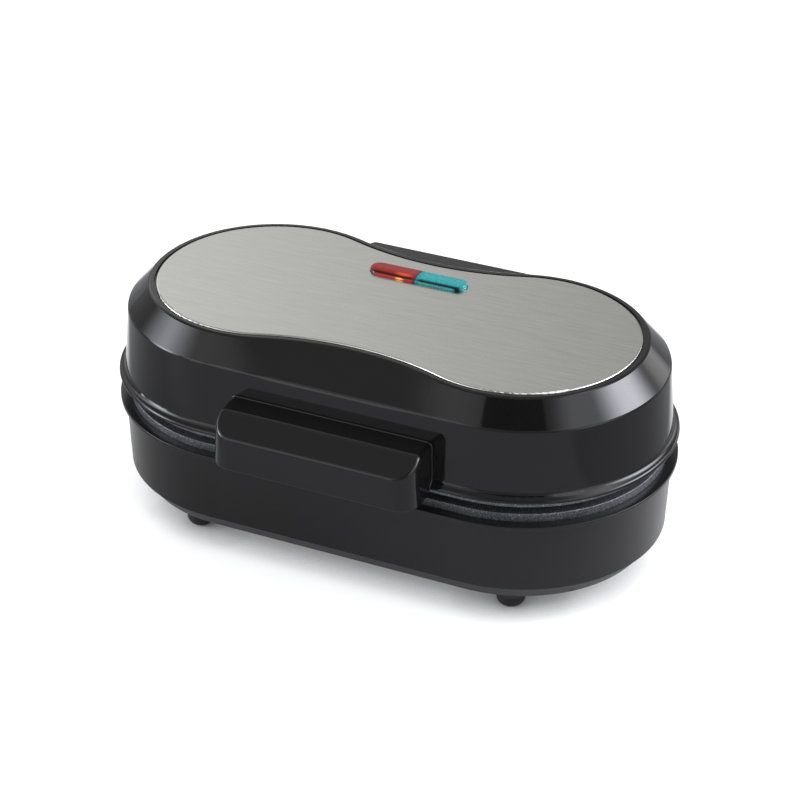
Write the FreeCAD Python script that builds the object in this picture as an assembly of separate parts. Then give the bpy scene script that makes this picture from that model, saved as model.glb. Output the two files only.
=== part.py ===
import FreeCAD, Part
import math
import os

# Two-place donut maker with a hinged lid.
# Millimetres, +Z up, the handle looks towards -Y and the hinge is at +Y.

# Outline: every level of lid and base is an oval, two half circles and two straight sides.
ARC_X = 61.96           # arc centres, left and right of the middle
RIM_R = 71.04           # widest edge of lid and base
PART_Z = 59.25          # level where the two cooking plates meet
WALL = 2.4              # moulded wall thickness

# Lid
FLANGE_Z = 66.0         # underside of the lid flange
FLANGE_EDGE = 67.2      # its upper side slopes from the edge
FLANGE_TOP = 68.9       # up into the lid wall
LID_WALL_R = 68.1       # lid wall at the flange
SHOULDER_R = 65.66      # lid wall at the shoulder
SHOULDER_Z = 98.5
CROWN_Z = 109.7         # black border round the steel plate
DECK_Z = 108.7          # floor under the steel plate
CEILING_Z = 106.2       # inside of the lid roof
BORDER = 3.1            # width of the black border
WIRE_X = 18.0           # the wires leave the lid through its rear wall
WIRE_Z = 84.0

# Steel plate on the lid, shaped like a figure eight
LOBE_X = 61.1
LOBE_R = 53.2
WAIST = 42.4            # half width across the waist
PLATE_TOP = 109.95
TAB_AT = ((-80, -20), (-80, 20), (80, -20), (80, 20))

# Pilot lights
LIGHT_X = -0.7
LIGHT_Y = 27.8
LIGHT_LENGTH = 47.6
LIGHT_WIDTH = 10.6
LENS_TOP = 112.1
LENS_DOME = 0.8         # rise of the lens from its front edge to its middle

# Handle
HANDLE_X = 0.3          # middle
HANDLE_HIGH = 47.5      # half width at the top, the sides lean in
HANDLE_LOW = 48.8       # half width at the bottom
HANDLE_Y = -90.0
HANDLE_TOP = 86.9       # at the lid wall
HANDLE_BEND = (-79.5, 86.4)   # the top runs level to this line and then falls to the front
HANDLE_FRONT_TOP = 79.2
HANDLE_BOTTOM = 63.4
HANDLE_WALL = 2.6
HANDLE_SCREWS = ((-30, 80.0), (30, 80.0))
COLLAR = 1.2            # bead where the handle meets the lid wall

# Base
RIM_Z = 54.4            # top of the base rim
BASE_TOP_R = 68.5
BASE_FOOT_R = 67.25
BASE_FOOT_Z = 19.9      # seam between base wall and bottom cover
COVER_R = 60.96
COVER_Z = 12.15         # flat underside
POCKET_R = 66.4         # pocket that takes the skirt of a cooking plate
LEDGE_R = 62.6          # ledge that the skirt stands on
LEDGE_LOW = 47.5
LEDGE_TOP = 49.9
LEDGE_TOP_UP = 2 * PART_Z - LEDGE_LOW
FOOT_AT = (77.7, 45.1)
FOOT_R = 6.3
COVER_SCREW_RADIUS = 57.0

# Cooking plates
PLATE_R = 66.0
LAND_Z = 59.1           # face of the lower plate
STEP_R = 58.0           # the face stands up inside a step along the edge
STEP_Z = 58.0           # level of that step on the lower plate
STEP_UP = 57.3          # the same on the upper plate, before it is turned over
RING_R = 34.0          # middle of the donut section
GROOVE_R = 16.0         # donut section
LIP = 1.4               # rolled edge of a mould
CAST = 3.0              # casting thickness below the groove
PLATE_SCREWS = ((-ARC_X, 0), (ARC_X, 0), (0, -38), (0, 38))

# Heating element
ELEMENT_R = 56.5
ELEMENT_Z = 51.4
SHEATH = 3.25
LEAD_X = 12.0           # the two ends turn away from the plate here

# Hinge
HINGE_Y = 80.0
HINGE_Z = 58.0
PIN_R = 2.0
EAR_R = 8.0
EAR_X = (40.0, 50.0)    # each ear of the base, on both sides
BACK_Y = 90.0
BLOCK_X = 52.0
BLOCK_LOW = 67.5
BLOCK_TOP = 90.3
BLOCK_SCREWS = ((-34, 79.5), (0, 79.5), (34, 79.5))
KNUCKLE_X = 39.6

# Rear cover over the mains connection, between the two ears
REAR_X = 39.7
REAR_Y = 86.5
REAR_TOP = 49.0
REAR_WALL = 2.5
REAR_SCREWS = ((-29, 34.0), (29, 34.0))
GLAND_Z = 33.0


def vec(x, y, z):
    return FreeCAD.Vector(x, y, z)


def outline(corners, place):
    """Closed wire through (a, b, rounding) corners, laid out by place(a, b)."""
    points = [place(c[0], c[1]) for c in corners]
    count = len(points)
    trims = []
    for i, corner in enumerate(corners):
        here = points[i]
        radius = corner[2] if len(corner) > 2 else 0
        if radius == 0:
            trims.append((here, None, here))
            continue
        u = (points[i - 1] - here).normalize()
        w = (points[(i + 1) % count] - here).normalize()
        half = u.getAngle(w) / 2
        run = radius / math.tan(half)
        inward = (u + w).normalize()
        middle = here + inward * (radius / math.sin(half) - radius)
        trims.append((here + u * run, middle, here + w * run))
    edges = []
    for i, (first, middle, last) in enumerate(trims):
        if middle is not None:
            edges.append(Part.Arc(first, middle, last).toShape())
        following = trims[(i + 1) % count][0]
        if last.distanceToPoint(following) > 1e-6:
            edges.append(Part.makeLine(last, following))
    return Part.Wire(edges)


def around_oval(section):
    """Solid whose (radius, height) section follows the oval outline."""
    pieces = []
    for side in (1, -1):
        face = Part.Face(outline(section, lambda r, z: vec(side * ARC_X, -side * r, z)))
        pieces.append(face.revolve(vec(side * ARC_X, 0, 0), vec(0, 0, 1), 180))
        pieces.append(face.extrude(vec(-side * 2 * ARC_X, 0, 0)))
    return pieces[0].multiFuse(pieces[1:]).removeSplitter()


def oval_prism(radius, low, high):
    return around_oval([(0, low), (radius, low), (radius, high), (0, high)])


def plan_prism(corners, low, high):
    """Upright prism over a rounded (x, y) outline."""
    face = Part.Face(outline(corners, lambda x, y: vec(x, y, low)))
    return face.extrude(vec(0, 0, high - low))


def side_prism(corners, left, right):
    """Prism along X over a rounded (y, z) outline."""
    face = Part.Face(outline(corners, lambda y, z: vec(left, y, z)))
    return face.extrude(vec(right - left, 0, 0))


def turned(section, x, y):
    """Solid of revolution about the upright axis at (x, y)."""
    face = Part.Face(outline(section, lambda r, z: vec(x + r, y, z)))
    return face.revolve(vec(x, y, 0), vec(0, 0, 1), 360)


def post(radius, low, high, x, y):
    return Part.makeCylinder(radius, high - low, vec(x, y, low))


def rod_x(radius, left, right, y, z):
    return Part.makeCylinder(radius, right - left, vec(left, y, z), vec(1, 0, 0))


def rod_y(radius, front, back, x, z):
    return Part.makeCylinder(radius, back - front, vec(x, front, z), vec(0, 1, 0))


def block(x0, x1, y0, y1, z0, z1):
    return Part.makeBox(x1 - x0, y1 - y0, z1 - z0, vec(x0, y0, z0))


def pill(length, width, x, y, low, high):
    """Prism with round ends, lying along X."""
    half = length / 2
    end = width / 2 - 0.001
    corners = [(x - half, y - width / 2, end), (x + half, y - width / 2, end),
               (x + half, y + width / 2, end), (x - half, y + width / 2, end)]
    return plan_prism(corners, low, high)


def join(first, others):
    return first.multiFuse(others).removeSplitter()


def mirrored(shape):
    """The same piece on the other side of the parting level."""
    return shape.mirror(vec(0, 0, PART_Z), vec(0, 0, 1))


def arc_through(centre, radius, start, end, z):
    """Arc about a centre from one angle to another, in degrees."""
    points = []
    for turn in (start, (start + end) / 2, end):
        a = math.radians(turn)
        points.append(vec(centre[0] + radius * math.cos(a), centre[1] + radius * math.sin(a), z))
    return Part.Arc(points[0], points[1], points[2]).toShape()


def waist_geometry():
    """Radius of the waist arc and the lobe angle at which it takes over."""
    waist_r = (LOBE_X ** 2 + WAIST ** 2 - LOBE_R ** 2) / (2 * (LOBE_R - WAIST))
    turn = 90 + math.degrees(math.atan2(LOBE_X, WAIST + waist_r))
    return waist_r, turn


def eight_wire(grow, z):
    """Figure-eight outline of the steel plate, grown evenly, in eight runs."""
    waist_r, turn = waist_geometry()
    lobe = LOBE_R + grow
    far = WAIST + waist_r
    dip = turn - 90
    runs = []
    for side in (0, 180):
        at = (LOBE_X * math.cos(math.radians(side)), 0)
        runs.append(arc_through(at, lobe, side - 90, side + 90, z))
        runs.append(arc_through(at, lobe, side + 90, side + turn, z))
        hollow = (0, far * math.cos(math.radians(side)))
        runs.append(arc_through(hollow, waist_r - grow, side - 90 + dip, side - 90 - dip, z))
        other = (-at[0], 0)
        runs.append(arc_through(other, lobe, side + 180 - turn, side + 90, z))
    return Part.Wire(runs)


def oval_wire(radius, z):
    """Oval outline cut into the same eight runs as the figure eight."""
    waist_r, turn = waist_geometry()
    meet = LOBE_X - LOBE_R * math.sin(math.radians(turn - 90))
    runs = []
    for side in (1, -1):
        angle = 0 if side > 0 else 180
        runs.append(arc_through((side * ARC_X, 0), radius, angle - 90, angle + 90, z))
        stops = [side * ARC_X, side * meet, -side * meet, -side * ARC_X]
        for a, b in zip(stops, stops[1:]):
            runs.append(Part.makeLine(vec(a, side * radius, z), vec(b, side * radius, z)))
    return Part.Wire(runs)


def eight_prism(grow, low, high):
    return Part.Face(eight_wire(grow, low)).extrude(vec(0, 0, high - low))


def crown(low_radius, low, grow, high):
    """Ruled roof from the oval shoulder up to the figure eight."""
    return Part.makeLoft([oval_wire(low_radius, low), eight_wire(grow, high)], True, True)


def level_edges(shape, z, reach):
    """Outer edges that lie at one level, further out than a given distance."""
    found = []
    for edge in shape.Edges:
        box = edge.BoundBox
        if abs(box.ZMin - z) > 0.01 or abs(box.ZMax - z) > 0.01:
            continue
        middle = edge.valueAt((edge.FirstParameter + edge.LastParameter) / 2)
        out = max(0, abs(middle.x) - ARC_X)
        if math.hypot(out, middle.y) > reach:
            found.append(edge)
    return found


def screw(x, y, low, high, shank_r, head_r, head):
    """Pan-head screw, head at the low end, cross recess in the head."""
    body = turned([(0, low), (head_r, low, head * 0.45), (head_r, low + head),
                   (shank_r, low + head), (shank_r, high, 0.3), (0, high)], x, y)
    for turn in (0, 90):
        slot = block(x - 0.4, x + 0.4, y - head_r * 0.55, y + head_r * 0.55, low - 1, low + head * 0.5)
        slot.rotate(vec(x, y, 0), vec(0, 0, 1), turn)
        body = body.cut(slot)
    return body


def lid_body(grow):
    """Full outer form of the lid, without its hollow."""
    wall = around_oval([(0, FLANGE_Z - grow), (RIM_R + grow, FLANGE_Z - grow, 0.25),
                        (RIM_R + grow, FLANGE_EDGE + grow, 1.6),
                        (LID_WALL_R + grow, FLANGE_TOP + grow, 3.2),
                        (SHOULDER_R + grow, SHOULDER_Z), (0, SHOULDER_Z)])
    roof = crown(SHOULDER_R + grow, SHOULDER_Z, BORDER + grow, CROWN_Z)
    return join(wall, [roof])


def lid_hollow():
    void = around_oval([(0, LEDGE_TOP_UP), (LID_WALL_R - WALL, LEDGE_TOP_UP),
                        (SHOULDER_R - WALL, SHOULDER_Z - 0.9), (0, SHOULDER_Z - 0.9)])
    roof = crown(SHOULDER_R - WALL, SHOULDER_Z - 0.9, 0, CEILING_Z)
    pocket = oval_prism(POCKET_R, FLANGE_Z - 1, 2 * PART_Z - LEDGE_TOP)
    throat = oval_prism(LEDGE_R, FLANGE_Z - 1, LEDGE_TOP_UP + 1)
    return [void, roof, pocket, throat]


def lid_housing():
    shell = lid_body(0)
    shell = shell.makeFillet(2.0, level_edges(shell, SHOULDER_Z, 60))
    shell = shell.makeFillet(1.6, level_edges(shell, CROWN_Z, 30))
    for void in lid_hollow():
        shell = shell.cut(void)
    shell = shell.cut(eight_prism(0.9, DECK_Z, CROWN_Z + 5))
    shell = shell.cut(pill(LIGHT_LENGTH + 0.4, LIGHT_WIDTH + 0.4, LIGHT_X, LIGHT_Y, 100, 115))
    for x, y in TAB_AT:
        shell = shell.cut(block(x - 3.2, x + 3.2, y - 0.7, y + 0.7, 100, 115))
    posts = []
    for x in (-33, 33):
        posts.append(post(3.5, 101.0, CEILING_Z + 0.5, LIGHT_X + x, LIGHT_Y))
    shell = join(shell, posts)
    for x in (-33, 33):
        shell = shell.cut(post(1.25, 100, 107.0, LIGHT_X + x, LIGHT_Y))
    for x, z in HANDLE_SCREWS:
        shell = shell.cut(rod_y(1.7, -75, -50, x, z))
    for x, z in BLOCK_SCREWS:
        shell = shell.cut(rod_y(1.7, 50, 75, x, z))
    for side in (-1, 1):
        shell = shell.cut(rod_y(2.5, 50, 75, side * WIRE_X, WIRE_Z))
    return shell


def top_plate():
    sheet = eight_prism(0, DECK_Z + 0.05, PLATE_TOP)
    rim = level_edges(sheet, PLATE_TOP, 0)
    sheet = sheet.makeFillet(0.8, rim)
    sheet = sheet.cut(pill(LIGHT_LENGTH + 0.4, LIGHT_WIDTH + 0.4, LIGHT_X, LIGHT_Y, 100, 115))
    tabs = []
    for x, y in TAB_AT:
        tabs.append(block(x - 2.9, x + 2.9, y - 0.4, y + 0.4, DECK_Z - 5.0, DECK_Z + 0.5))
    return join(sheet, tabs)


def lens(side):
    """One half of the light: domed pill through the plate, lip below the roof, hollow inside."""
    cap = pill(LIGHT_LENGTH, LIGHT_WIDTH, 0, LIGHT_Y, CEILING_Z - 1.4, LENS_TOP + 1)
    dome_r = ((LIGHT_WIDTH / 2) ** 2 + LENS_DOME ** 2) / (2 * LENS_DOME)
    cap = cap.common(rod_x(dome_r, -40, 40, LIGHT_Y, LENS_TOP - dome_r))
    edges = [e for e in cap.Edges if e.BoundBox.ZMin > LENS_TOP - LENS_DOME - 0.1]
    cap = cap.makeFillet(1.2, edges)
    lip = pill(LIGHT_LENGTH + 3.6, LIGHT_WIDTH + 3.6, 0, LIGHT_Y, CEILING_Z - 1.4, CEILING_Z - 0.05)
    whole = join(cap, [lip])
    inner = pill(LIGHT_LENGTH - 3.6, LIGHT_WIDTH - 3.6, 0, LIGHT_Y, CEILING_Z - 2, LENS_TOP - 2.1)
    whole = whole.cut(inner)
    split = block(0.15, 40, LIGHT_Y - 20, LIGHT_Y + 20, 90, 120)
    partition = block(0.15, 1.6, LIGHT_Y - 5, LIGHT_Y + 5, CEILING_Z - 1.4, LENS_TOP - 1)
    if side < 0:
        split = split.mirror(vec(0, 0, 0), vec(1, 0, 0))
        partition = partition.mirror(vec(0, 0, 0), vec(1, 0, 0))
    return join(whole.common(split), [partition]).translated(vec(LIGHT_X, 0, 0))


def lamp_holder():
    """Tray under the two lenses with one chamber for each lamp and a screw ear at each end."""
    top = CEILING_Z - 1.45
    low = 93.0
    tray = pill(LIGHT_LENGTH + 3.0, LIGHT_WIDTH + 3.0, 0, LIGHT_Y, low, top)
    tray = tray.cut(pill(LIGHT_LENGTH - 0.4, LIGHT_WIDTH - 0.4, 0, LIGHT_Y, low + 1.6, top + 1))
    ears = [block(-0.8, 0.8, LIGHT_Y - 6.2, LIGHT_Y + 6.2, low + 1, top)]
    for side in (-1, 1):
        near, far = sorted((side * 24.5, side * 33))
        ears.append(block(near, far, LIGHT_Y - 4, LIGHT_Y + 4, 98.8, 100.95))
        ears.append(post(4, 98.8, 100.95, side * 33, LIGHT_Y))
    tray = join(tray, ears)
    for side in (-1, 1):
        tray = tray.cut(post(1.4, 90, 105, side * 33, LIGHT_Y))
        for y in (-2.2, 2.2):
            tray = tray.cut(post(0.9, 90, 97, side * 7, LIGHT_Y + y))
    return tray.translated(vec(LIGHT_X, 0, 0))


def lamp(side):
    """Neon lamp lying in its chamber: round glass with a pip, two legs through the floor."""
    low, high = sorted((side * 5.5, side * 18))
    glass = rod_x(2.9, low, high, LIGHT_Y, 99.3)
    edges = [e for e in glass.Edges if abs(abs(e.BoundBox.XMin) - 18) < 0.01 and
             abs(abs(e.BoundBox.XMax) - 18) < 0.01]
    glass = glass.makeFillet(2.2, edges)
    legs = []
    for y in (-2.2, 2.2):
        legs.append(post(0.45, 91.0, 98.6, side * 7, LIGHT_Y + y))
    return join(glass, legs).translated(vec(LIGHT_X, 0, 0))


def lamp_screws():
    return [screw(LIGHT_X + x, LIGHT_Y, 96.5, 106.0, 1.2, 2.6, 2.25) for x in (-33, 33)]


def handle_half(z):
    """Half width of the handle at one level."""
    lean = (HANDLE_LOW - HANDLE_HIGH) / (HANDLE_TOP - HANDLE_BOTTOM)
    return HANDLE_LOW - lean * (z - HANDLE_BOTTOM)


def handle_top(y):
    """Level of the top of the handle: almost flat behind the bend, falling in front of it."""
    bend_y, bend_z = HANDLE_BEND
    if y > bend_y:
        return bend_z + (HANDLE_TOP - bend_z) * (y - bend_y) / (-66.3 - bend_y)
    return HANDLE_FRONT_TOP + (bend_z - HANDLE_FRONT_TOP) * (y - HANDLE_Y) / (bend_y - HANDLE_Y)


def handle_form(inset, back, low):
    """Solid under the bent top between the leaning sides, inset on every visible side."""
    front = HANDLE_Y + inset
    levels = []
    for z in (50, 100):
        half = handle_half(z) - inset
        corners = [(-half, -50), (-half, front, 9.5 - inset), (half, front, 9.5 - inset), (half, -50)]
        levels.append(outline(corners, lambda x, y: vec(HANDLE_X + x, y, z)))
    plan = Part.makeLoft(levels, True, True)
    drop = inset * 1.15
    bend_y, bend_z = HANDLE_BEND
    side = side_prism([(front, low), (back, low), (back, handle_top(back) - drop),
                       (bend_y, bend_z - drop, 6), (front, handle_top(front) - drop)], -60, 60)
    return side.common(plan)


def handle():
    back = -60.0
    body = handle_form(0, back, HANDLE_BOTTOM)
    rim = []
    for edge in body.Edges:
        box = edge.BoundBox
        across = abs(edge.CenterOfMass.x - HANDLE_X) < 5 and edge.CenterOfMass.y > HANDLE_Y + 1
        if box.ZMin > HANDLE_FRONT_TOP - 0.1 and box.YMin < back - 0.1 and not across:
            rim.append(edge)
    body = body.makeFillet(2.0, rim)
    low_edges = [e for e in body.Edges if e.BoundBox.ZMax < HANDLE_BOTTOM + 0.01 and
                 e.BoundBox.YMin < back - 0.1]
    body = body.makeFillet(0.8, low_edges)
    body = body.cut(handle_form(HANDLE_WALL, -70.8, HANDLE_BOTTOM - 5))
    bosses = [rod_y(4, -76, -62, x, z) for x, z in HANDLE_SCREWS]
    body = join(body, bosses + [handle_collar()])
    for x, z in HANDLE_SCREWS:
        body = body.cut(rod_y(1.3, -75, -50, x, z))
    body = body.cut(block(-60, 60, -71.15, -50, 50, FLANGE_EDGE))
    return body.cut(lid_body(0.05))


def handle_collar():
    """Narrow bead round the root of the handle that follows the lid wall and its flange."""
    low = FLANGE_Z + 0.4
    high = HANDLE_TOP + 0.55
    foot = handle_half(low) + 0.7
    head = handle_half(high) + 0.7
    hoop = outline([(-foot, low), (foot, low), (head, high, 3.0), (-head, high, 3.0)],
                   lambda x, z: vec(HANDLE_X + x, -75, z))
    slab = Part.Face(hoop).extrude(vec(0, 12, 0))
    bead = slab.common(lid_body(COLLAR))
    bead = bead.cut(block(HANDLE_X + 6 - head, HANDLE_X + head - 6, -80, -50, 50, high - 6))
    front = []
    for edge in bead.Edges:
        middle = edge.CenterOfMass
        outside = abs(middle.x - HANDLE_X) > handle_half(middle.z) + 0.1 or middle.z > high - 3.1
        if edge.BoundBox.YMax < -COLLAR - SHOULDER_R and outside and middle.z > low + 0.2:
            front.append(edge)
    return bead.makeFillet(0.4, front)


def wall_screws(spots, front, back, flip):
    """Pan-head screws along Y through the lid wall."""
    made = []
    for x, z in spots:
        piece = screw(0, 0, 0, back - front, 1.25, 2.9, 2.2)
        turn = 90 if flip else -90
        piece.rotate(vec(0, 0, 0), vec(1, 0, 0), turn)
        piece.translate(vec(x, back if flip else front, z))
        made.append(piece)
    return made


def handle_screws():
    return wall_screws(HANDLE_SCREWS, -74.0, -62.1, True)


def hinge_block_screws():
    return wall_screws(BLOCK_SCREWS, 62.15, 76.0, False)


def hinge_block():
    """Rear block of the lid with the knuckle that turns on the pin."""
    side = side_prism([(60, BLOCK_LOW), (BACK_Y, BLOCK_LOW, 2), (BACK_Y, BLOCK_TOP, 2.5),
                       (60, BLOCK_TOP)], -60, 60)
    plan = plan_prism([(-BLOCK_X, 60), (BLOCK_X, 60), (BLOCK_X, BACK_Y, 6), (-BLOCK_X, BACK_Y, 6)],
                      50, 100)
    body = side.common(plan)
    inner = plan_prism([(2.6 - BLOCK_X, 50), (BLOCK_X - 2.6, 50), (BLOCK_X - 2.6, BACK_Y - 2.6, 3.4),
                        (2.6 - BLOCK_X, BACK_Y - 2.6, 3.4)], BLOCK_LOW + 2.7, BLOCK_TOP - 2.6)
    body = body.cut(inner)
    web = side_prism([(HINGE_Y - 6.5, HINGE_Z), (HINGE_Y + 6.5, HINGE_Z),
                      (HINGE_Y + 6.5, BLOCK_LOW + 1), (HINGE_Y - 6.5, BLOCK_LOW + 1)],
                     -KNUCKLE_X, KNUCKLE_X)
    parts = [web, rod_x(7.5, -KNUCKLE_X, KNUCKLE_X, HINGE_Y, HINGE_Z)]
    parts += [rod_y(4, 60, BACK_Y - 2, x, z) for x, z in BLOCK_SCREWS]
    body = join(body, parts)
    for x, z in BLOCK_SCREWS:
        body = body.cut(rod_y(1.3, 50, 78, x, z))
    body = body.cut(rod_x(PIN_R + 0.06, -60, 60, HINGE_Y, HINGE_Z))
    return body.cut(lid_body(0.05))


def hinge_pin():
    """Steel rod with a head at the left end and a clip groove at the right end."""
    pin = rod_x(PIN_R, -50.3, 54.0, HINGE_Y, HINGE_Z)
    head = rod_x(3.6, -52.0, -50.2, HINGE_Y, HINGE_Z)
    groove = rod_x(PIN_R + 1, 51.0, 52.0, HINGE_Y, HINGE_Z)
    groove = groove.cut(rod_x(1.4, 50, 53, HINGE_Y, HINGE_Z))
    pin = pin.cut(groove)
    tip = [e for e in pin.Edges if abs(e.BoundBox.XMin - 54) < 0.01]
    pin = pin.makeChamfer(0.5, tip)
    return join(pin, [head])


def pin_clip():
    """Open retaining clip in the groove of the hinge pin."""
    ring = rod_x(4.2, 51.1, 51.9, HINGE_Y, HINGE_Z)
    ring = ring.cut(rod_x(1.45, 50, 53, HINGE_Y, HINGE_Z))
    return ring.cut(block(50, 53, HINGE_Y - 1.3, HINGE_Y + 1.3, HINGE_Z - 6, HINGE_Z))


def cover_screw_spots():
    reach = COVER_SCREW_RADIUS * math.sqrt(0.5)
    return [(sx * (ARC_X + reach), sy * reach) for sx in (-1, 1) for sy in (-1, 1)]


def base_wall(grow):
    """Full outer form of the base under its rim, without the hollow."""
    return around_oval([(0, BASE_FOOT_Z - 1), (BASE_FOOT_R + grow, BASE_FOOT_Z - 1),
                        (BASE_FOOT_R + grow, BASE_FOOT_Z), (BASE_TOP_R + grow, RIM_Z - 3.2),
                        (0, RIM_Z - 3.2)])


def hinge_ear(side):
    """Lug behind the base wall that carries the hinge pin, cored from below."""
    left, right = sorted((side * EAR_X[0], side * EAR_X[1]))
    lug = side_prism([(66.6, BASE_FOOT_Z), (REAR_Y, BASE_FOOT_Z, 4), (REAR_Y, REAR_TOP),
                      (HINGE_Y + EAR_R, HINGE_Z), (HINGE_Y - EAR_R, HINGE_Z),
                      (HINGE_Y - EAR_R, REAR_TOP), (66.6, REAR_TOP)], left, right)
    lug = join(lug, [rod_x(EAR_R, left, right, HINGE_Y, HINGE_Z)])
    core = block(left + 2.6, right - 2.6, 70.5, REAR_Y - 3.0, BASE_FOOT_Z - 1, REAR_TOP - 3.0)
    return lug.cut(core)


def base_housing():
    shell = around_oval([(POCKET_R, RIM_Z), (RIM_R, RIM_Z, 0.3), (RIM_R, RIM_Z - 1.7, 0.4),
                         (BASE_TOP_R, RIM_Z - 3.2), (BASE_FOOT_R, BASE_FOOT_Z),
                         (BASE_FOOT_R - WALL, BASE_FOOT_Z), (BASE_TOP_R - 2.5, LEDGE_LOW),
                         (LEDGE_R, LEDGE_LOW), (LEDGE_R, LEDGE_TOP), (POCKET_R, LEDGE_TOP)])
    parts = [hinge_ear(-1), hinge_ear(1)]
    for x, y in cover_screw_spots():
        parts.append(post(4.2, 22.6, 35.0, x, y))
        web = block(0, 10.5, -1.5, 1.5, 24.0, 35.0)
        web.rotate(vec(0, 0, 0), vec(0, 0, 1), math.degrees(math.atan2(y, x - math.copysign(ARC_X, x))))
        web.translate(vec(x, y, 0))
        parts.append(web)
    shell = join(shell, parts)
    shell = shell.cut(block(-19, 19, 60, 75, BASE_FOOT_Z + REAR_WALL, 40))
    for x, z in REAR_SCREWS:
        shell = shell.cut(rod_y(1.7, 60, 75, x, z))
    for x, y in cover_screw_spots():
        shell = shell.cut(post(1.5, 20, 33.5, x, y))
    return shell.cut(rod_x(PIN_R + 0.02, -60, 60, HINGE_Y, HINGE_Z))


def rear_cover():
    """Box behind the base wall that covers the mains connection and holds the gland."""
    shell = plan_prism([(-REAR_X, 60), (REAR_X, 60), (REAR_X, REAR_Y, 5), (-REAR_X, REAR_Y, 5)],
                       BASE_FOOT_Z, REAR_TOP)
    back = [e for e in shell.Edges if abs(e.BoundBox.ZMin - REAR_TOP) < 0.01 and e.BoundBox.YMax > 61]
    shell = shell.makeFillet(1.5, back)
    wide = REAR_X - REAR_WALL
    far = REAR_Y - REAR_WALL
    shell = shell.cut(plan_prism([(-wide, 50), (wide, 50), (wide, far, 2.5), (-wide, far, 2.5)],
                                 BASE_FOOT_Z + REAR_WALL, REAR_TOP - REAR_WALL))
    shell = join(shell, [rod_y(4, 60, far + 1, x, z) for x, z in REAR_SCREWS])
    for x, z in REAR_SCREWS:
        shell = shell.cut(rod_y(1.3, 50, 80, x, z))
    shell = shell.cut(rod_y(6.05, 80, 90, 0, GLAND_Z))
    return shell.cut(base_wall(0.05))


def rear_cover_screws():
    return wall_screws(REAR_SCREWS, 63.05, 78.0, False)


def base_cover():
    """Bottom dish with a sloping edge, a locating lip, vents and stands for feet and screws."""
    dish = around_oval([(0, COVER_Z), (COVER_R, COVER_Z, 0.6), (BASE_FOOT_R - 0.3, BASE_FOOT_Z - 0.05),
                        (BASE_FOOT_R - 2.6, BASE_FOOT_Z - 0.05), (BASE_FOOT_R - 2.6, 22.3),
                        (BASE_FOOT_R - 4.6, 22.3), (BASE_FOOT_R - 4.6, 18.6),
                        (COVER_R - 1.2, COVER_Z + WALL), (0, COVER_Z + WALL)])
    parts = []
    for x, y in foot_spots():
        parts.append(turned([(0, 6.5), (7.4, 6.5, 0.5), (7.9, COVER_Z + 1), (0, COVER_Z + 1)], x, y))
    for x, y in cover_screw_spots():
        parts.append(post(5.2, COVER_Z + 1, 22.5, x, y))
    dish = join(dish, parts)
    for x, y in foot_spots():
        dish = dish.cut(post(2.55, 0, 30, x, y))
    for x, y in cover_screw_spots():
        dish = dish.cut(post(3.9, 0, 18.5, x, y))
        dish = dish.cut(post(1.7, 0, 30, x, y))
    for row in range(-3, 4):
        for side in (-1, 1):
            dish = dish.cut(pill(26, 3.2, side * 17, row * 8.0, 0, 18))
    return dish


def foot_spots():
    x, y = FOOT_AT
    return [(-x, -y), (x, -y), (-x, y), (x, y)]


def foot(x, y):
    """Rubber foot: round pad with a soft edge and a barbed stem."""
    return turned([(0, 0), (FOOT_R, 0, 3.8), (FOOT_R + 0.4, 6.45, 0.4), (2.5, 6.45), (2.5, 14.8),
                   (3.1, 14.8), (2.0, 17.6, 0.4), (0, 17.6)], x, y)


def cover_screws():
    return [screw(x, y, 16.2, 32.0, 1.45, 3.4, 2.25) for x, y in cover_screw_spots()]


def ring_mould(x):
    """Space of one donut half: round channel about an upright axis, with a rolled lip."""
    near = RING_R - GROOVE_R
    far = RING_R + GROOVE_R
    low = LAND_Z - LIP
    roll = LIP * math.sqrt(0.5)

    def at(r, z):
        return vec(x + r, 0, z)

    runs = [Part.Arc(at(near - LIP, LAND_Z), at(near - LIP + roll, low + roll), at(near, low)).toShape(),
            Part.Arc(at(near, low), at(RING_R, low - GROOVE_R), at(far, low)).toShape(),
            Part.Arc(at(far, low), at(far + LIP - roll, low + roll), at(far + LIP, LAND_Z)).toShape()]
    above = LAND_Z + 3
    loop = [at(far + LIP, LAND_Z), at(far + LIP, above), at(near - LIP, above), at(near - LIP, LAND_Z)]
    for a, b in zip(loop, loop[1:]):
        runs.append(Part.makeLine(a, b))
    return Part.Face(Part.Wire(runs)).revolve(vec(x, 0, 0), vec(0, 0, 1), 360)


def cooking_plate(step):
    """Cast plate with two ring-shaped moulds, a stepped edge, a skirt and four screw bosses."""
    land_back = LAND_Z - 4.0
    plate = around_oval([(0, land_back), (PLATE_R - 3, land_back, 1.5), (PLATE_R - 3, LEDGE_TOP + 0.05),
                         (PLATE_R, LEDGE_TOP + 0.05), (PLATE_R, step, 0.4), (STEP_R, step),
                         (STEP_R, LAND_Z), (0, LAND_Z)])
    parts = []
    for side in (-1, 1):
        bulge = Part.makeTorus(RING_R, GROOVE_R + CAST, vec(side * ARC_X, 0, LAND_Z - LIP))
        parts.append(bulge.common(block(-140, 140, -80, 80, 20, LAND_Z - LIP)))
    for x, y in PLATE_SCREWS:
        parts.append(post(4.5, 37.2, LAND_Z - 1, x, y))
    plate = join(plate, parts)
    for side in (-1, 1):
        plate = plate.cut(ring_mould(side * ARC_X))
    for x, y in PLATE_SCREWS:
        plate = plate.cut(post(1.95, 30, 51, x, y))
    return plate


def add_sensor_holes(plate):
    """Blind holes that hold the thermostat and the fuse clip."""
    for x, y in ((0, -12.5), (0, 12.5), (0, 28.0)):
        plate = plate.cut(post(1.25, 50, LAND_Z - 1.2, x, y))
    return plate


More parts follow.
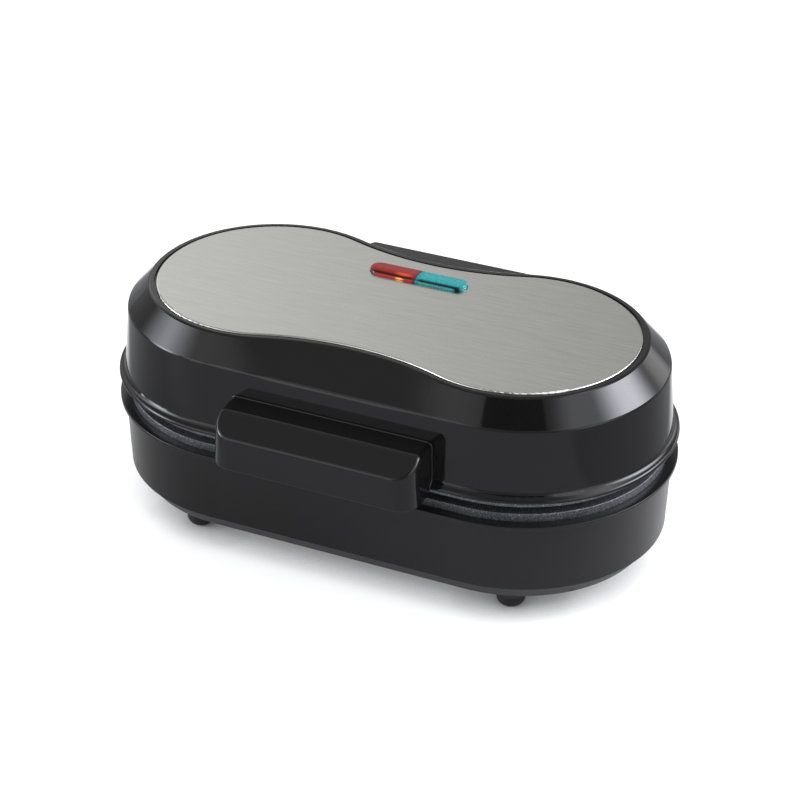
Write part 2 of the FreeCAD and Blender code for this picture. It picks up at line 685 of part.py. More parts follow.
def lower_element():
    """Bent tube round both moulds, its two ends turned down at the back."""
    parts = []
    for side in (-1, 1):
        ring = Part.makeTorus(ELEMENT_R, SHEATH, vec(side * ARC_X, 0, ELEMENT_Z))
        near, far = sorted((side * ARC_X, side * 140))
        parts.append(ring.common(block(near, far, -80, 80, 40, 60)))
        bend_x = side * (LEAD_X + 8)
        low, high = sorted((bend_x, side * ARC_X))
        parts.append(rod_x(SHEATH, low, high, ELEMENT_R, ELEMENT_Z))
        elbow = Part.makeTorus(8, SHEATH, vec(bend_x, ELEMENT_R, ELEMENT_Z - 8), vec(0, 1, 0))
        near, far = sorted((bend_x, side * 2))
        parts.append(elbow.common(block(near, far, 40, 80, ELEMENT_Z - 8, 60)))
        parts.append(post(SHEATH, 32.0, ELEMENT_Z - 8, side * LEAD_X, ELEMENT_R))
    parts.append(rod_x(SHEATH, -ARC_X, ARC_X, -ELEMENT_R, ELEMENT_Z))
    return join(parts[0], parts[1:])


def lower_terminals():
    """Ceramic bead with its connecting pin on each end of the element."""
    made = []
    for side in (-1, 1):
        made.append(turned([(0, 22.0), (1.2, 22.0, 0.3), (1.2, 27.2), (4.0, 27.2, 0.6), (4.0, 31.95, 0.3),
                            (0, 31.95)], side * LEAD_X, ELEMENT_R))
    return made


def lower_reflector():
    """Thin pan clamped under the ledge, drawn up to the plate by its four screws."""
    floor = 36.5
    gauge = 0.6
    pan = around_oval([(0, floor), (61.2, floor, 2.0), (62.3, LEDGE_LOW - 0.65, 0.8),
                       (65.2, LEDGE_LOW - 0.65), (65.2, LEDGE_LOW - 0.05), (61.75, LEDGE_LOW - 0.05, 1.4),
                       (60.65, floor + gauge, 1.4), (0, floor + gauge)])
    for x, y in PLATE_SCREWS:
        pan = pan.cut(post(2.1, 30, 40, x, y))
    for side in (-1, 1):
        pan = pan.cut(post(3.7, 30, 42, side * LEAD_X, ELEMENT_R))
    return pan


def add_sensor_window(pan):
    """Opening in the pan for the thermostat, the fuse and their wires."""
    window = pill(47, 18, 7.5, 0, 30, 42)
    window.rotate(vec(0, 0, 0), vec(0, 0, 1), 90)
    return pan.cut(window)


def lower_plate_screws():
    return [screw(x, y, 33.8, 50.0, 1.9, 4.0, 2.65) for x, y in PLATE_SCREWS]


def thermostat():
    """Round snap-disc thermostat under the plate, on a strap with two ears."""
    top = LAND_Z - 4.05
    body = turned([(0, top), (7.6, top, 0.6), (7.6, top - 4), (6.8, top - 4), (6.8, top - 11, 0.5),
                   (0, top - 11)], 0, 0)
    strap = pill(32, 6.5, 0, 0, top - 0.8, top)
    strap.rotate(vec(0, 0, 0), vec(0, 0, 1), 90)
    parts = [strap]
    for side in (-1, 1):
        parts.append(block(-2.4, 2.4, side * 4.2 - 0.4, side * 4.2 + 0.4, top - 16.5, top - 10))
    body = join(body, parts)
    for side in (-1, 1):
        body = body.cut(post(1.6, top - 3, top + 1, 0, side * 12.5))
    return body


def thermostat_screws():
    top = LAND_Z - 4.9
    return [screw(0, side * 12.5, top - 2.0, LAND_Z - 1.6, 1.2, 2.4, 1.95) for side in (-1, 1)]


def thermal_fuse():
    """Small fuse cartridge with its sleeve, lying against the plate."""
    z = LAND_Z - 4.0 - 3.1
    body = rod_x(2.3, -7, 7, 22.0, z)
    parts = [rod_x(1.3, -8.2, 8.2, 22.0, z), rod_x(0.5, -10.8, 10.8, 22.0, z)]
    return join(body, parts)


def fuse_clip():
    """Strap that holds the fuse, with an ear for its screw."""
    z = LAND_Z - 4.0 - 3.1
    band = rod_x(3.0, -4, 4, 22.0, z)
    ear = block(-4, 4, 22.0, 32.0, LAND_Z - 4.9, LAND_Z - 4.1)
    clip = join(band, [ear]).cut(rod_x(2.35, -5, 5, 22.0, z))
    return clip.cut(post(1.5, 40, 60, 0, 28.0))


def fuse_screw():
    return [screw(0, 28.0, LAND_Z - 6.9, LAND_Z - 1.6, 1.2, 2.4, 1.95)]


def terminal_block():
    """Ceramic block with three through ways for the conductors and a screw well over each."""
    body = plan_prism([(-17, 61.5, 1.5), (17, 61.5, 1.5), (17, 74.5, 1.5), (-17, 74.5, 1.5)],
                      BASE_FOOT_Z + REAR_WALL + 0.05, 34.0)
    for x in (-11, 0, 11):
        body = body.cut(rod_y(2.6, 50, 90, x, 27.0))
        for y in (64.8, 71.2):
            body = body.cut(post(2.0, 27, 40, x, y))
    return body


def terminal_screws():
    """Slotted grub screws in the wells of the terminal block."""
    made = []
    for x in (-11, 0, 11):
        for y in (64.8, 71.2):
            grub = post(1.95, 28.2, 33.2, x, y)
            made.append(grub.cut(block(x - 3, x + 3, y - 0.4, y + 0.4, 32.2, 34)))
    return made


def cord_gland():
    """Entry bush in the back of the rear cover, open right through."""
    front = REAR_Y - REAR_WALL
    face = Part.Face(outline([(3.5, front - 2.6), (8.2, front - 2.6, 0.5), (8.2, front - 0.05),
                              (6.0, front - 0.05), (6.0, REAR_Y + 0.05), (8.2, REAR_Y + 0.05),
                              (8.2, REAR_Y + 2.4, 1.2), (3.5, REAR_Y + 2.4, 0.8)],
                             lambda r, y: vec(r, y, GLAND_Z)))
    return face.revolve(vec(0, 0, GLAND_Z), vec(0, 1, 0), 360)


def lead(points, radius):
    """Round wire along a smooth path through the points."""
    curve = Part.BSplineCurve()
    curve.interpolate([vec(x, y, z) for x, y, z in points])
    start = curve.value(curve.FirstParameter)
    heading = curve.tangent(curve.FirstParameter)[0]
    ring = Part.Wire([Part.makeCircle(radius, start, heading)])
    return Part.Wire([curve.toShape()]).makePipeShell([ring], True, True)


def pin_socket(x, y, closed, open_end):
    """Push-on socket over a connecting pin of the element."""
    low, high = sorted((closed, open_end))
    near, far = sorted((closed + math.copysign(1.5, open_end - closed), open_end))
    return post(2.0, low, high, x, y).cut(post(1.25, near, far, x, y))


def tab_socket(y):
    """Push-on socket over a flat tab of the thermostat."""
    shell = block(-3.1, 3.1, y - 1.1, y + 1.1, 37.3, 43.0)
    return shell.cut(block(-2.5, 2.5, y - 0.5, y + 0.5, 38.45, 44))


def base_leads():
    """Supply to the fuse, on to the thermostat and the element, and back to the block."""
    fuse_z = LAND_Z - 7.1
    supply = join(lead([(0, 64, 27), (0, 59, 26.6), (-3, 48, 27), (-7, 33, 31), (-6.6, 25.5, 38),
                        (-10.2, 22.4, 47), (-11.9, 22, fuse_z)], 0.9),
                  [rod_x(1.0, -12.6, -9.6, 22.0, fuse_z)])
    supply = supply.cut(rod_x(0.55, -11, -9, 22.0, fuse_z))
    link = join(lead([(11.9, 22, fuse_z), (10.6, 20, 46), (6.6, 13, 38), (2, 6, 34.8),
                      (0, 4.2, 37.6)], 0.9),
                [rod_x(1.0, 9.6, 12.6, 22.0, fuse_z), tab_socket(4.2)])
    link = link.cut(rod_x(0.55, 9, 11, 22.0, fuse_z))
    feed = join(lead([(0, -4.2, 37.6), (1.5, -4.6, 33.5), (8, 8, 28), (15, 38, 24), (13.4, 54, 18.6),
                      (12, ELEMENT_R, 20.6)], 0.9),
                [tab_socket(-4.2), pin_socket(LEAD_X, ELEMENT_R, 20.3, 26.9)])
    back = join(lead([(-11, 64, 27), (-11, 60.6, 25.5), (-11.5, 59.3, 19.0), (-12, 57.2, 18.0),
                      (-12, ELEMENT_R, 20.6)], 0.9),
                [pin_socket(-LEAD_X, ELEMENT_R, 20.3, 26.9)])
    return [supply, link, feed, back]


def lid_leads():
    """Wires from the rear wall to the element, and from there to the two lamps."""
    made = []
    for side in (-1, 1):
        x = side * LEAD_X
        leg = LIGHT_X + side * 7
        main = lead([(side * WIRE_X, 72, WIRE_Z), (side * WIRE_X, 65, WIRE_Z + 0.2),
                     (side * 17.2, 59, 89), (side * 15.6, 57, 94), (side * 13.7, ELEMENT_R, 95)], 0.9)
        tap = lead([(x, 54.9, 95), (x * 0.97, 51, 94.4), (side * 10, 42.5, 91.5),
                    (side * 7.6, LIGHT_Y + 5, 88.0), (leg, LIGHT_Y + 2.2, 90.0)], 0.8)
        cup = post(0.95, 89.8, 92.9, leg, LIGHT_Y + 2.2).cut(post(0.5, 90.9, 93, leg, LIGHT_Y + 2.2))
        made.append(join(main, [tap, cup, pin_socket(x, ELEMENT_R, 98.0, 91.6)]))
    y = LIGHT_Y - 2.2
    common = [lead([(LIGHT_X - 7, y, 90), (LIGHT_X - 6, y - 0.6, 87.4), (LIGHT_X, y - 1, 86.4),
                    (LIGHT_X + 6, y - 0.6, 87.4), (LIGHT_X + 7, y, 90)], 0.8)]
    for leg in (LIGHT_X - 7, LIGHT_X + 7):
        common.append(post(0.95, 89.8, 92.9, leg, y).cut(post(0.5, 90.9, 93, leg, y)))
    made.append(join(common[0], common[1:]))
    return made


def save(name, shape):
    solids = shape if isinstance(shape, list) else shape.Solids
    piece = solids[0] if len(solids) == 1 else Part.makeCompound(solids)
    piece.exportStep("parts/" + name + ".step")


os.makedirs("parts", exist_ok=True)

save("base_housing", base_housing())
save("rear_cover", rear_cover())
save("rear_cover_screws", rear_cover_screws())
save("base_cover", base_cover())
for spot, name in zip(foot_spots(), ("front_left", "front_right", "rear_left", "rear_right")):
    save("foot_" + name, foot(spot[0], spot[1]))
save("cover_screws", cover_screws())
save("lower_plate", add_sensor_holes(cooking_plate(STEP_Z)))
save("lower_element", lower_element())
save("lower_terminals", lower_terminals())
save("lower_reflector", add_sensor_window(lower_reflector()))
save("lower_plate_screws", lower_plate_screws())
save("thermostat", thermostat())
save("thermostat_screws", thermostat_screws())
save("thermal_fuse", thermal_fuse())
save("fuse_clip", fuse_clip())
save("fuse_screw", fuse_screw())
save("terminal_block", terminal_block())
save("terminal_screws", terminal_screws())
save("cord_gland", cord_gland())
save("base_leads", base_leads())
save("hinge_pin", hinge_pin())
save("pin_clip", pin_clip())

save("lid_housing", lid_housing())
save("top_plate", top_plate())
save("red_lens", lens(-1))
save("green_lens", lens(1))
save("lamp_holder", lamp_holder())
save("red_lamp", lamp(-1))
save("green_lamp", lamp(1))
save("lamp_holder_screws", lamp_screws())
save("handle", handle())
save("handle_screws", handle_screws())
save("hinge_block", hinge_block())
save("hinge_block_screws", hinge_block_screws())
save("upper_plate", mirrored(cooking_plate(STEP_UP)))
save("upper_element", mirrored(lower_element()))
save("upper_terminals", [mirrored(piece) for piece in lower_terminals()])
save("upper_reflector", mirrored(lower_reflector()))
save("upper_plate_screws", [mirrored(piece) for piece in lower_plate_screws()])
save("lid_leads", lid_leads())
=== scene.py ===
import math

import bpy
from mathutils import Matrix, Quaternion, Vector


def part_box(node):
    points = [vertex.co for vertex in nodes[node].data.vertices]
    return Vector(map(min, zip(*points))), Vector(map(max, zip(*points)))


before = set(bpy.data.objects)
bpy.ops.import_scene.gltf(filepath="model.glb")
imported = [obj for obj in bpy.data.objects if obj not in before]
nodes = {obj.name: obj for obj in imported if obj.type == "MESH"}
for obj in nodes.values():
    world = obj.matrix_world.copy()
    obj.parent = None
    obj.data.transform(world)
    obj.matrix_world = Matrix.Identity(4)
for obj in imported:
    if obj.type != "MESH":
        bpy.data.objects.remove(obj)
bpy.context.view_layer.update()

# Materials: lengths in metres, noise scales per metre
PLASTIC_IOR = 1.47
BROKEN_EDGE = 0.0004        # radius of the sharp edges of satin mouldings
FINE_RELIEF = 0.0002        # height of grain, scratches and pores
COARSE_RELIEF = 0.0003      # height of rough skins and prisms
LONG_SCRATCH = (40.0, 700.0, 700.0)     # noise scale along X, Y and Z
FINE_SCRATCH = (70.0, 2600.0, 2600.0)

# Pilot light
LENS_IOR = 1.4
LENS_SEAM = 0.0022          # half width of the tint where the two halves meet
# Painted glow in the red half: warm spots of emission that stand in for light gathered in the lens, though no
# lamp there is lit. Place as a share of its box, half size, colour
RED_PAINTED_GLOWS = (
    ((0.711, 0.127, 0.781), (0.0026, 0.0014, 0.0006), (0.9, 0.50, 0.08)),
    ((0.766, 0.303, 0.904), (0.0058, 0.0017, 0.0012), (0.5, 0.07, 0.015)),
)

# Floor
FLOOR_HALF = 6.0
FLOOR_TONE = 0.50           # white table as the light finds it
FLOOR_FAR = 0.37            # beyond its left and right edge, in reflections only
FLOOR_LIFT = 2.5            # added for the eye, as far as the shade of the object lets it
FLOOR_WHITE = 0.75          # most that is added for the eye: with the light on it the table is white
FLOOR_SHADE = 0.022         # reach of the object's own shade
SHADE_FALL = 2.4            # how steeply that shade falls
FLOOR_GLOSS = 0.56          # added in reflections
GLOSS_REACH = (-0.13, 0.09)     # from front to back, where it grows
FAR_REACH = (-0.22, -0.12)      # from front to back, where the far tone sets in
TABLE_TURN = 24.4           # of the table's edges, in degrees
TABLE_HALF = 0.185          # from the middle to its left and right edge
TABLE_EDGE = 0.03           # width of the soft change there

# Soft lights of the studio: compass turn and height in degrees, half width and half height as seen,
# softness of the edge, radiance. Turn 0 is in front of the handle, 90 is to the right.
PLAIN_SKY = (
    (0, 90, (2.1, 2.1), 0.2, 0.36),
    (-38, 40, (0.75, 0.5), 1.0, 0.6),
    (-30, 16, (0.45, 0.42), 1.0, 1.5),
    (-132, 28, (0.60, 0.40), 1.0, 1.0),
    (153, 8, (0.42, 0.26), 0.8, 1.5),
    (78, 9, (0.60, 0.16), 0.8, 1.7),
    (122, 60, (0.45, 0.32), 1.0, 2.2),
)
COOL_SKY = (
    (-71, 28, (0.66, 0.28), 1.0, 4.2),
    (-64, 12, (0.34, 0.36), 1.0, 10.0),
    (118, 30, (0.60, 0.32), 0.9, 10.5),
    (94, 38, (0.85, 0.42), 0.5, 1.55),
)
DARK_FLAG = (16, 50, (0.37, 0.20), 0.15, 1.0)
FLAG_LEAVES = 0.12          # share of the light that the flag lets through
PLAIN_TINT = (1.0, 1.0, 1.0, 1.0)
COOL_TINT = (0.97, 0.98, 1.08, 1.0)

# Camera: sensor and focal length in millimetres, place in metres, angles in degrees
CAMERA_SENSOR = 36.0
CAMERA_LENS = 112.182
CAMERA_PLACE = (0.405648, -0.895561, 0.637217)
CAMERA_TURN = 24.2171
CAMERA_HEIGHT = 30.3955
CAMERA_ROLL = 0.3687
CAMERA_SIGHT = 50.0         # farthest it sees, in metres


# Nodes that the materials and the sky are made of

def feed(tree, value, socket):
    """Link an output to the socket, or set a constant on it."""
    if isinstance(value, bpy.types.NodeSocket):
        tree.links.new(value, socket)
    else:
        socket.default_value = value


def set_inputs(tree, node, **values):
    """Link or set inputs by name, with _ for a space."""
    for name, value in values.items():
        feed(tree, value, node.inputs[name.replace("_", " ")])


def add(tree, kind, **values):
    node = tree.nodes.new(kind)
    set_inputs(tree, node, **values)
    return node


def blank(name):
    """Material with nothing but its output."""
    material = bpy.data.materials.new(name)
    material.use_nodes = True
    tree = material.node_tree
    tree.nodes.clear()
    return material, tree, add(tree, "ShaderNodeOutputMaterial")


def shader(name):
    material, tree, out = blank(name)
    surface = add(tree, "ShaderNodeBsdfPrincipled")
    set_inputs(tree, out, Surface=surface.outputs["BSDF"])
    return material, tree, surface


def both_shaders(tree, first, second, out):
    """Sum of two shaders as the surface of a material or the world."""
    total = add(tree, "ShaderNodeAddShader")
    tree.links.new(first, total.inputs[0])
    tree.links.new(second, total.inputs[1])
    set_inputs(tree, out, Surface=total.outputs[0])


def coordinates(tree, scale=(1, 1, 1)):
    """Object coordinates in metres, stretched per axis."""
    where = add(tree, "ShaderNodeTexCoord")
    mapping = add(tree, "ShaderNodeMapping", Vector=where.outputs["Object"], Scale=scale)
    return mapping.outputs["Vector"]


def noise(tree, vector, scale, detail=3.0, roughness=0.55):
    texture = add(tree, "ShaderNodeTexNoise", Vector=vector, Scale=scale, Detail=detail, Roughness=roughness)
    return texture.outputs["Fac"]


def spot(tree, vector, centre, half_size, turn=(0, 0, 0)):
    """One at the centre of a soft ellipsoid, nothing outside it."""
    mapping = add(tree, "ShaderNodeMapping")
    mapping.vector_type = "TEXTURE"
    set_inputs(tree, mapping, Vector=vector, Location=centre, Rotation=turn, Scale=half_size)
    ball = add(tree, "ShaderNodeTexGradient", Vector=mapping.outputs["Vector"])
    ball.gradient_type = "SPHERICAL"
    return ball.outputs["Fac"]


def ramp(tree, value, stops):
    """Colour ramp; stops are (position, grey or colour)."""
    node = add(tree, "ShaderNodeValToRGB", Fac=value)
    elements = node.color_ramp.elements
    while len(elements) < len(stops):
        elements.new(0.5)
    for element, (position, tone) in zip(elements, stops):
        element.position = position
        if isinstance(tone, (int, float)):
            tone = (tone, tone, tone)
        element.color = (*tone, 1.0)
    return node.outputs["Color"]


def between(tree, value, low, high, start=0.3, end=0.7):
    """From low to high, as a rule over the usual reach of a noise."""
    return ramp(tree, value, [(start, low), (end, high)])


def span(tree, value, start, end, low=0.0, high=1.0, kind="LINEAR"):
    """From low to high while the value goes from start to end."""
    node = add(tree, "ShaderNodeMapRange")
    node.interpolation_type = kind
    set_inputs(tree, node, Value=value, From_Min=start, From_Max=end, To_Min=low, To_Max=high)
    return node.outputs["Result"]


def smooth(tree, value, start, end, low=0.0, high=1.0):
    return span(tree, value, start, end, low, high, "SMOOTHSTEP")


def combine(tree, operation, first, second=0.0):
    node = add(tree, "ShaderNodeMath")
    node.operation = operation
    feed(tree, first, node.inputs[0])
    feed(tree, second, node.inputs[1])
    return node.outputs[0]


def tint(tree, blend, amount, first, second):
    """Mix of two colours."""
    node = add(tree, "ShaderNodeMix")
    node.data_type = "RGBA"
    node.blend_type = blend
    set_inputs(tree, node, Factor=amount, A=first, B=second)
    return node.outputs["Result"]


def bump(tree, height, strength, distance, normal=None):
    node = add(tree, "ShaderNodeBump", Height=height, Strength=strength, Distance=distance)
    if normal is not None:
        set_inputs(tree, node, Normal=normal)
    return node.outputs["Normal"]


def shaded(tone, factor):
    """Colour made darker or lighter."""
    return tuple(min(1.0, part * factor) for part in tone)


# Materials

def gloss_black(name, low, high, tone):
    """Polished moulding: faint haze and handling marks in its gloss, slight orange peel."""
    material, tree, surface = shader(name)
    place = coordinates(tree)
    haze = noise(tree, place, 22.0, detail=5.0, roughness=0.6)
    cloud = noise(tree, place, 9.0)
    peel = noise(tree, place, 260.0, detail=2.0)
    set_inputs(tree, surface, IOR=PLASTIC_IOR,
               Base_Color=between(tree, cloud, tone * 0.8, tone * 1.2),
               Roughness=between(tree, haze, low, high, end=0.75),
               Normal=bump(tree, peel, strength=0.02, distance=2 * FINE_RELIEF))
    return material


def satin_black(name, tone, low, high, grain, depth):
    """Fine spark-eroded moulding texture, its sharp edges broken."""
    material, tree, surface = shader(name)
    place = coordinates(tree)
    patch = noise(tree, place, 14.0, detail=4.0)
    spark = noise(tree, place, grain, detail=2.0, roughness=0.7)
    broken = add(tree, "ShaderNodeBevel", Radius=BROKEN_EDGE)
    broken.samples = 6
    set_inputs(tree, surface, IOR=PLASTIC_IOR,
               Base_Color=between(tree, patch, tone * 0.85, tone * 1.2, start=0.25, end=0.75),
               Roughness=between(tree, patch, low, high),
               Normal=bump(tree, spark, depth, FINE_RELIEF, normal=broken.outputs["Normal"]))
    return material


def brushed_steel(name, tone, low, high):
    """Long fine scratches along X in the colour, the gloss and the surface."""
    material, tree, surface = shader(name)
    broad = noise(tree, coordinates(tree, LONG_SCRATCH), 1.0, detail=4.0, roughness=0.6)
    fine = noise(tree, coordinates(tree, FINE_SCRATCH), 1.0, roughness=0.6)
    mix = add(tree, "ShaderNodeMix")
    mix.data_type = "FLOAT"
    set_inputs(tree, mix, Factor=0.5, A=broad, B=fine)
    streak = mix.outputs["Result"]
    set_inputs(tree, surface, Metallic=1.0,
               Base_Color=between(tree, streak, shaded(tone, 0.86), shaded(tone, 1.12)),
               Roughness=between(tree, streak, low, high),
               Normal=bump(tree, streak, strength=0.12, distance=FINE_RELIEF))
    return material


def plain_metal(name, tone, low, high, scale):
    """Plain or plated metal with slight stains."""
    material, tree, surface = shader(name)
    stain = noise(tree, coordinates(tree), scale, detail=5.0, roughness=0.65)
    set_inputs(tree, surface, Metallic=1.0,
               Base_Color=between(tree, stain, shaded(tone, 0.75), tone),
               Roughness=between(tree, stain, low, high),
               Normal=bump(tree, stain, strength=0.1, distance=FINE_RELIEF))
    return material


def speckled_coat(name):
    """Grey non-stick coat with pale flecks."""
    material, tree, surface = shader(name)
    place = coordinates(tree)
    pores = add(tree, "ShaderNodeTexVoronoi", Vector=place, Scale=900.0).outputs["Distance"]
    fleck = noise(tree, place, 1500.0, detail=2.0, roughness=0.8)
    body = noise(tree, place, 60.0, detail=4.0)
    grey = between(tree, body, (0.12, 0.123, 0.135), (0.16, 0.165, 0.18))
    pale = between(tree, fleck, 0.0, 1.0, start=0.56, end=0.64)
    set_inputs(tree, surface, IOR=1.45, Metallic=0.7,
               Base_Color=tint(tree, "MIX", pale, grey, (0.46, 0.47, 0.50, 1.0)),
               Roughness=between(tree, body, 0.38, 0.52),
               Normal=bump(tree, pores, strength=0.15, distance=FINE_RELIEF))
    return material


def rubber(name, tone):
    """Matt rubber with a rough skin."""
    material, tree, surface = shader(name)
    grain = noise(tree, coordinates(tree), 700.0, detail=4.0, roughness=0.7)
    set_inputs(tree, surface,
               Base_Color=between(tree, grain, tone * 0.8, tone * 1.3),
               Roughness=between(tree, grain, 0.6, 0.8),
               Normal=bump(tree, grain, strength=0.25, distance=COARSE_RELIEF))
    return material


def dull(name, tone, low, high, scale):
    """Plain moulded or fired body with slight mottling."""
    material, tree, surface = shader(name)
    mottle = noise(tree, coordinates(tree), scale, detail=4.0, roughness=0.65)
    set_inputs(tree, surface,
               Base_Color=between(tree, mottle, shaded(tone, 0.85), tone),
               Roughness=between(tree, mottle, low, high),
               Normal=bump(tree, mottle, strength=0.15, distance=COARSE_RELIEF))
    return material


def lens_plastic(tree, surface, foot, line, body, back, seam, speckle):
    """Clear tinted moulding with painted light in its colour: a bright foot of painted glow, a dark line of
    painted reflection where it turns, the body's own tint, a paler back edge of painted reflection, a tinted
    seam.

    The first four colours follow each other from front to back, as shares of the depth.
    """
    low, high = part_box("green_lens")
    place = coordinates(tree)
    apart = add(tree, "ShaderNodeSeparateXYZ", Vector=place)
    depth = span(tree, apart.outputs["Y"], low[1], high[1])
    # painted light: the bright foot and the paler back are painted light and reflection, the dark line is a
    # painted dark reflection; the body is the plastic's own tint
    colour = ramp(tree, depth, [(0.0, foot), (0.11, foot), (0.15, line), (0.20, line),
                                (0.27, body), (0.70, body), (0.92, back)])
    beside = span(tree, apart.outputs["X"], low[0] - LENS_SEAM, low[0] + LENS_SEAM)
    near_seam = ramp(tree, beside, [(0.0, 0.0), (0.25, 0.8), (0.75, 0.8), (1.0, 0.0)])
    colour = tint(tree, "MIX", near_seam, colour, seam)
    prism = add(tree, "ShaderNodeTexVoronoi", Vector=place, Scale=850.0, Randomness=0.35).outputs["Distance"]
    cells = between(tree, prism, 1.0, 0.3, start=0.1, end=0.65)
    haze = noise(tree, place, 200.0)
    set_inputs(tree, surface, IOR=LENS_IOR,
               Base_Color=tint(tree, "MULTIPLY", speckle, colour, cells),
               Roughness=between(tree, haze, 0.05, 0.1),
               Normal=bump(tree, prism, strength=0.08 * speckle, distance=COARSE_RELIEF))


def red_lens():
    """Red half, with painted light in its foot, line and back colours, and warm spots of painted glow where
    it gathers the light.
    """
    material, tree, surface = shader("lens_red")
    # the foot, line and back colours are painted light and reflection; body and seam are the lens's own tint
    lens_plastic(tree, surface, foot=(0.95, 0.05, 0.05), line=(0.03, 0.001, 0.001),
                 body=(0.27, 0.012, 0.010), back=(0.30, 0.08, 0.075),
                 seam=(0.16, 0.02, 0.025, 1.0), speckle=0.2)
    low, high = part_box("red_lens")
    place = coordinates(tree)
    painted_glows = []
    for shares, half_size, painted_glow_colour in RED_PAINTED_GLOWS:
        centre = [a + (b - a) * share for a, b, share in zip(low, high, shares)]
        painted_glows.append(between(tree, spot(tree, place, centre, half_size), 0.0, painted_glow_colour, start=0.0, end=0.6))
    # painted glow: the warm spots are emission, though the lens is no lit lamp
    set_inputs(tree, surface, Emission_Color=tint(tree, "ADD", 1.0, *painted_glows), Emission_Strength=1.0)
    return material


def green_lens():
    """Blue-green half, with a grain of small prisms and painted light in its foot, line and back colours."""
    material, tree, surface = shader("lens_green")
    # the foot, line and back colours are painted light and reflection; body and seam are the lens's own tint
    lens_plastic(tree, surface, foot=(0.12, 0.80, 0.78), line=(0.002, 0.03, 0.04),
                 body=(0.03, 0.44, 0.45), back=(0.10, 0.52, 0.54),
                 seam=(0.012, 0.34, 0.32, 1.0), speckle=0.75)
    return material


def dress(material, *names):
    for name in names:
        slots = nodes[name].data.materials
        slots.clear()
        slots.append(material)


def dress_all():
    """One material for each kind of surface."""
    dress(gloss_black("lid_gloss", 0.03, 0.07, 0.006), "lid_housing")
    dress(gloss_black("handle_gloss", 0.05, 0.1, 0.006), "handle")
    dress(satin_black("hinge_satin", 0.012, 0.22, 0.3, 900.0, 0.1), "hinge_block")
    dress(satin_black("base_satin", 0.010, 0.2, 0.27, 1100.0, 0.08), "base_housing", "rear_cover")
    dress(satin_black("cover_matt", 0.03, 0.4, 0.5, 900.0, 0.2), "base_cover")
    dress(satin_black("gland_matt", 0.02, 0.45, 0.6, 900.0, 0.2), "cord_gland")
    dress(rubber("foot_rubber", 0.014),
          "foot_front_left", "foot_front_right", "foot_rear_left", "foot_rear_right")
    dress(brushed_steel("plate_steel", (0.635, 0.635, 0.60), 0.21, 0.30), "top_plate")
    dress(speckled_coat("nonstick"), "lower_plate", "upper_plate")
    dress(red_lens(), "red_lens")
    dress(green_lens(), "green_lens")
    dress(plain_metal("element_steel", (0.42, 0.40, 0.37), 0.3, 0.5, 120.0), "lower_element", "upper_element")
    dress(plain_metal("reflector_sheet", (0.72, 0.72, 0.72), 0.25, 0.4, 60.0),
          "lower_reflector", "upper_reflector")
    dress(plain_metal("screw_zinc", (0.60, 0.60, 0.57), 0.25, 0.4, 400.0),
          "cover_screws", "lower_plate_screws", "upper_plate_screws", "thermostat_screws", "fuse_screw",
          "fuse_clip", "lamp_holder_screws", "handle_screws", "hinge_block_screws", "rear_cover_screws")
    dress(plain_metal("pin_steel", (0.55, 0.55, 0.55), 0.2, 0.35, 300.0), "hinge_pin", "pin_clip")
    dress(plain_metal("brass", (0.72, 0.52, 0.22), 0.25, 0.4, 300.0), "terminal_screws")
    dress(plain_metal("fuse_tin", (0.70, 0.68, 0.62), 0.25, 0.4, 300.0), "thermal_fuse")
    dress(dull("ceramic", (0.84, 0.82, 0.77), 0.5, 0.65, 250.0),
          "lower_terminals", "upper_terminals", "terminal_block")
    dress(dull("thermostat_brown", (0.10, 0.05, 0.03), 0.4, 0.55, 250.0), "thermostat")
    dress(dull("holder_white", (0.75, 0.74, 0.70), 0.4, 0.55, 200.0), "lamp_holder")
    dress(dull("wire_silicone", (0.80, 0.78, 0.72), 0.5, 0.6, 300.0), "base_leads", "lid_leads")
    dress(dull("lamp_glass", (0.85, 0.60, 0.40), 0.1, 0.2, 200.0), "red_lamp", "green_lamp")


# Floor

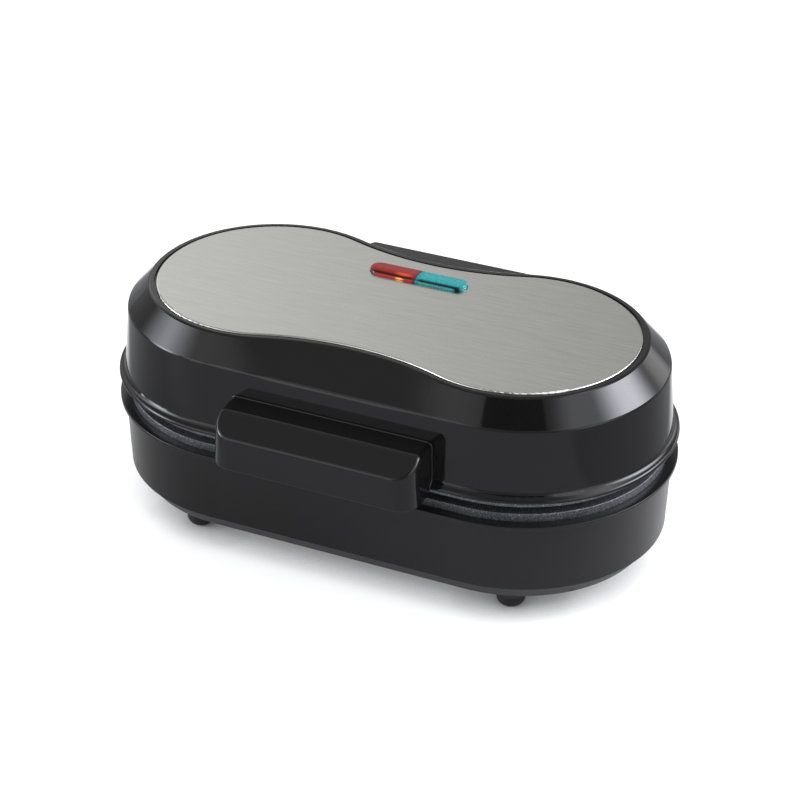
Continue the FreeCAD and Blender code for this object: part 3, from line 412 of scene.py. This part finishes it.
def floor_white():
    """White table: lifted to white for the eye, less in reflections, with the object's shade kept."""
    material, tree, out = blank("floor_white")
    path = add(tree, "ShaderNodeLightPath").outputs
    place = add(tree, "ShaderNodeTexCoord").outputs["Object"]
    depth = add(tree, "ShaderNodeSeparateXYZ", Vector=place).outputs["Y"]
    across = add(tree, "ShaderNodeVectorMath")
    across.operation = "DOT_PRODUCT"
    turn = math.radians(TABLE_TURN)
    feed(tree, place, across.inputs[0])
    feed(tree, (math.cos(turn), math.sin(turn), 0), across.inputs[1])
    aside = combine(tree, "ABSOLUTE", across.outputs["Value"])
    edge = (TABLE_HALF, TABLE_HALF + TABLE_EDGE)

    shade = add(tree, "ShaderNodeAmbientOcclusion", Distance=FLOOR_SHADE)
    shade.samples = 8
    lit = combine(tree, "POWER", shade.outputs["AO"], SHADE_FALL)
    added = combine(tree, "MINIMUM", combine(tree, "MULTIPLY", lit, FLOOR_LIFT), FLOOR_WHITE)
    seen = combine(tree, "MAXIMUM", path["Is Camera Ray"], path["Is Transmission Ray"])
    seen = combine(tree, "MULTIPLY", seen, added)
    mirrored = combine(tree, "MULTIPLY", smooth(tree, depth, *GLOSS_REACH, 0.0, FLOOR_GLOSS),
                       smooth(tree, aside, *edge, 1.0, 0.0))
    mirrored = combine(tree, "MULTIPLY", mirrored, path["Is Glossy Ray"])
    lift = add(tree, "ShaderNodeEmission", Strength=combine(tree, "ADD", seen, mirrored))

    beyond = combine(tree, "MULTIPLY", smooth(tree, aside, *edge), smooth(tree, depth, *FAR_REACH))
    tone = smooth(tree, beyond, 0.0, 1.0, FLOOR_TONE, FLOOR_FAR)
    tone = combine(tree, "MAXIMUM", tone, combine(tree, "MULTIPLY", path["Is Camera Ray"], FLOOR_TONE))
    diffuse = add(tree, "ShaderNodeBsdfDiffuse", Color=tone)
    both_shaders(tree, diffuse.outputs[0], lift.outputs[0], out)
    return material


def pale_floor():
    half = FLOOR_HALF
    corners = [(-half, -half, 0), (half, -half, 0), (half, half, 0), (-half, half, 0)]
    mesh = bpy.data.meshes.new("floor")
    mesh.from_pydata(corners, [], [(0, 1, 2, 3)])
    floor = bpy.data.objects.new("floor", mesh)
    bpy.context.scene.collection.objects.link(floor)
    mesh.materials.append(floor_white())


# Light and camera

def compass(turn, height):
    """Direction from a compass turn and a height above the floor, in degrees."""
    around = math.radians(turn)
    above = math.radians(height)
    level = math.cos(above)
    return Vector((math.sin(around) * level, -math.cos(around) * level, math.sin(above)))


def soft_patch(tree, turn, height, half_size, softness, radiance):
    """Light from one part of the sky, an oval with a soft edge."""
    where = add(tree, "ShaderNodeTexCoord").outputs["Generated"]
    towards = compass(turn, height)
    facing = towards.to_track_quat("Z", "Y").to_euler()
    oval = spot(tree, where, towards, (*half_size, max(half_size)), facing)
    return smooth(tree, oval, 0.0, softness, 0.0, radiance)


def sky(tree, patches, flag, colour):
    """Sum of soft patches, held back behind the dark flag, in one tint."""
    total = soft_patch(tree, *patches[0])
    for patch in patches[1:]:
        total = combine(tree, "ADD", total, soft_patch(tree, *patch))
    held = combine(tree, "MULTIPLY", total, span(tree, flag, 0.0, 1.0, 1.0, FLAG_LEAVES))
    return add(tree, "ShaderNodeBackground", Color=colour, Strength=held).outputs["Background"]


def studio():
    world = bpy.data.worlds.new("studio")
    bpy.context.scene.world = world
    world.use_nodes = True
    tree = world.node_tree
    tree.nodes.clear()
    out = add(tree, "ShaderNodeOutputWorld")
    flag = soft_patch(tree, *DARK_FLAG)
    both_shaders(tree, sky(tree, PLAIN_SKY, flag, PLAIN_TINT), sky(tree, COOL_SKY, flag, COOL_TINT), out)


def photo_camera():
    lens = bpy.data.cameras.new("camera")
    lens.sensor_fit = "HORIZONTAL"
    lens.sensor_width = CAMERA_SENSOR
    lens.lens = CAMERA_LENS
    lens.clip_end = CAMERA_SIGHT
    camera = bpy.data.objects.new("camera", lens)
    bpy.context.scene.collection.objects.link(camera)
    facing = compass(CAMERA_TURN, CAMERA_HEIGHT).to_track_quat("Z", "Y")
    roll = Quaternion((0, 0, 1), math.radians(CAMERA_ROLL))
    camera.matrix_world = Matrix.Translation(CAMERA_PLACE) @ (facing @ roll).to_matrix().to_4x4()
    bpy.context.scene.camera = camera


dress_all()
pale_floor()
studio()
photo_camera()
bpy.context.scene.view_settings.view_transform = "Standard"
